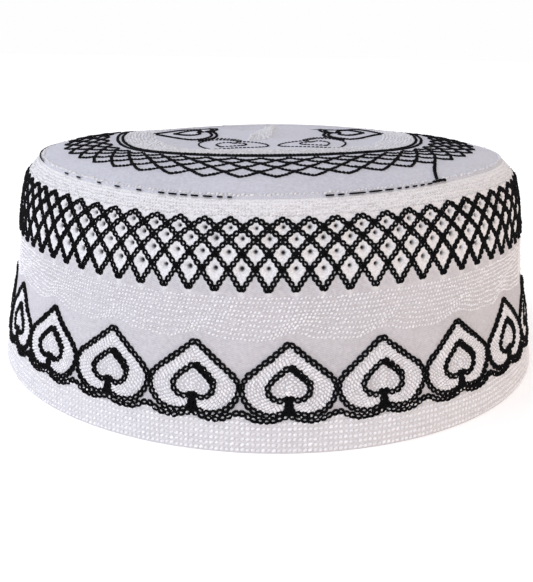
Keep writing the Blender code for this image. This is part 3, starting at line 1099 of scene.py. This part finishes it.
def add_floor():
    """Wide square floor of pale paper, faintly glowing, under the cap."""
    mesh = bpy.data.meshes.new("floor")
    corners = [(x * FLOOR_HALF, y * FLOOR_HALF, 0) for x, y in ((-1, -1), (1, -1), (1, 1), (-1, 1))]
    mesh.from_pydata(corners, [], [(0, 1, 2, 3)])
    material, tree, shader = empty_material("Pale floor")
    grain = noise(tree, add_node(tree, "ShaderNodeTexCoord").outputs["Object"], 60.0, 3.0)
    base = bpy.context.scene.cap_colours.floor
    tree.links.new(blend(tree, grain, base, shade_of(base, 0.985)), shader.inputs["Base Color"])
    shader.inputs["Roughness"].default_value = 0.95
    shader.inputs["Emission Color"].default_value = (0.95, 0.98, 1.0, 1.0)
    shader.inputs["Emission Strength"].default_value = 0.08
    mesh.materials.append(material)
    floor = bpy.data.objects.new("floor", mesh)
    bpy.context.scene.collection.objects.link(floor)


def soft_studio():
    """World that is brighter and cooler to the left than to the right, and plain white as seen."""
    world = bpy.data.worlds.new("Soft studio")
    world.use_nodes = True
    sky = world.node_tree
    place = add_node(sky, "ShaderNodeTexCoord").outputs["Generated"]
    sideways = add_node(sky, "ShaderNodeSeparateXYZ", {0: place}).outputs["X"]
    soft = blend(sky, ranged(sky, sideways, -1.0, 1.0), SKY_LEFT, SKY_RIGHT)
    seen = add_node(sky, "ShaderNodeLightPath").outputs["Is Camera Ray"]
    sky.links.new(blend(sky, seen, soft, SKY_SEEN), sky.nodes["Background"].inputs["Color"])
    return world


def add_camera():
    """Camera at its place, tilted down about its own sideways axis and rolled about the upright."""
    data = bpy.data.cameras.new("Camera")
    data.lens = CAMERA_LENS
    data.clip_start = 0.01
    camera = bpy.data.objects.new("Camera", data)
    bpy.context.scene.collection.objects.link(camera)
    camera.location = CAMERA_PLACE
    camera.rotation_mode = "QUATERNION"
    half_pitch, half_roll = (math.pi / 2 - CAMERA_DOWN) / 2, CAMERA_ROLL / 2
    camera.rotation_quaternion = (
        math.cos(half_pitch) * math.cos(half_roll), math.sin(half_pitch) * math.cos(half_roll),
        -math.sin(half_pitch) * math.sin(half_roll), math.cos(half_pitch) * math.sin(half_roll))
    return camera


class PRAYERCAP_OT_stage(bpy.types.Operator):
    """Make the pale floor, the soft lights and the camera"""

    bl_idname = "prayercap.stage"
    bl_label = "Stage"

    def execute(self, context):
        scene = context.scene
        add_floor()
        for light in LIGHTS:
            add_light(light)
        scene.world = soft_studio()
        scene.camera = add_camera()
        scene.view_settings.view_transform = "Standard"
        return {"FINISHED"}


class PRAYERCAP_PT_panel(bpy.types.Panel):
    """Lists the cap's sizes, colours and makers"""

    bl_idname = "PRAYERCAP_PT_panel"
    bl_label = "Prayer cap"
    bl_space_type = "VIEW_3D"
    bl_region_type = "UI"
    bl_category = "Prayer cap"

    def draw(self, context):
        for group in (context.scene.cap_shape, context.scene.cap_stitches, context.scene.cap_colours):
            box = self.layout.box()
            for key in group.__annotations__:
                box.prop(group, key)
        for operator in OPERATORS:
            self.layout.operator(operator.bl_idname)


OPERATORS = (PRAYERCAP_OT_wall_cloth, PRAYERCAP_OT_crown_cloth, PRAYERCAP_OT_wall_stitch,
             PRAYERCAP_OT_crown_stitch, PRAYERCAP_OT_white_stitch, PRAYERCAP_OT_stage)
CLASSES = (CapShape, CapStitches, CapColours, *OPERATORS, PRAYERCAP_PT_panel)


def register():
    for cls in CLASSES:
        bpy.utils.register_class(cls)
    bpy.types.Scene.cap_shape = bpy.props.PointerProperty(type=CapShape)
    bpy.types.Scene.cap_stitches = bpy.props.PointerProperty(type=CapStitches)
    bpy.types.Scene.cap_colours = bpy.props.PointerProperty(type=CapColours)


def unregister():
    del bpy.types.Scene.cap_colours
    del bpy.types.Scene.cap_stitches
    del bpy.types.Scene.cap_shape
    for cls in reversed(CLASSES):
        bpy.utils.unregister_class(cls)


def main():
    register()
    bpy.ops.prayercap.wall_cloth()
    bpy.ops.prayercap.crown_cloth()
    bpy.ops.prayercap.wall_stitch()
    bpy.ops.prayercap.crown_stitch()
    bpy.ops.prayercap.white_stitch()
    bpy.ops.prayercap.stage()


if __name__ == "__main__":
    main()
